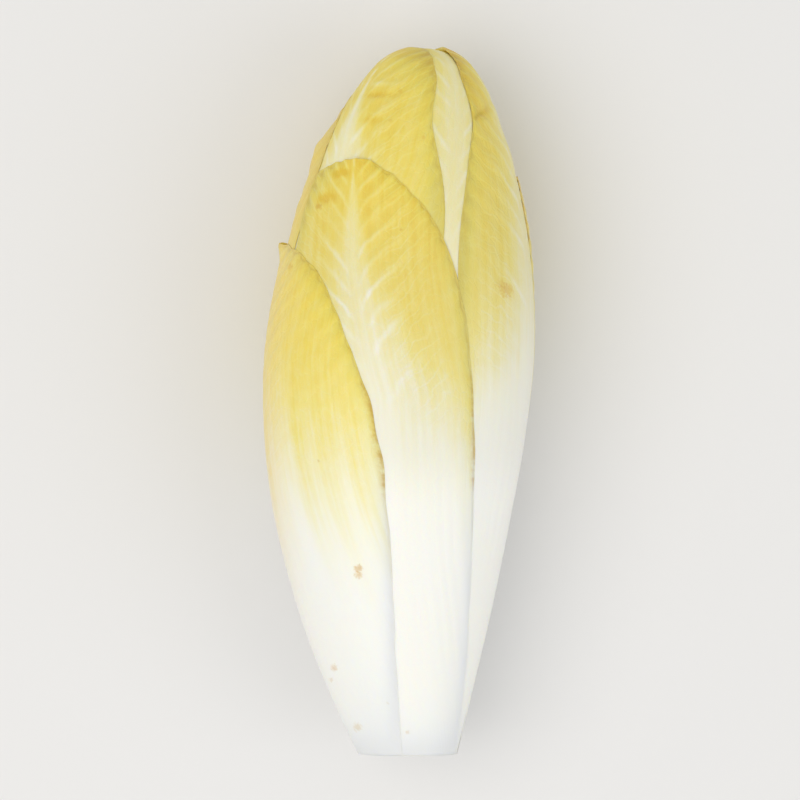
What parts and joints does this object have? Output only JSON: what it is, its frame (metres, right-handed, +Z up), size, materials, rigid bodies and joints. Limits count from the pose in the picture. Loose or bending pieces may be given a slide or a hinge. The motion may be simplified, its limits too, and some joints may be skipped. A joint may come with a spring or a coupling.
{
  "type": "belgian endive",
  "caption": "Spindle-shaped salad head lying on its side, with pale wrapped leaves that turn yellow towards a closed tip and a short cut stem",
  "frame": {"origin": "centre of the bounding box's base, on the surface that the head lies on", "axes": "+Y from the cut stem to the tip, +Z up, with the head lying on its side"},
  "size_m": [0.0534, 0.136, 0.0468],
  "materials": {
    "stem": "satin",
    "white_leaf": "satin",
    "cream_leaf": "satin",
    "yellow_leaf": "satin",
    "heart": "satin"
  },
  "bodies": {
    "root": {"stem": "stem", "leaf_01": "white_leaf", "leaf_02": "white_leaf", "leaf_03": "cream_leaf", "leaf_04": "cream_leaf", "leaf_05": "yellow_leaf", "leaf_06": "yellow_leaf", "leaf_07": "yellow_leaf", "leaf_08": "yellow_leaf", "leaf_09": "yellow_leaf", "leaf_10": "yellow_leaf", "leaf_11": "yellow_leaf", "leaf_12": "yellow_leaf", "leaf_13": "yellow_leaf", "leaf_14": "yellow_leaf", "heart": "heart"}
  },
  "joints": []
}
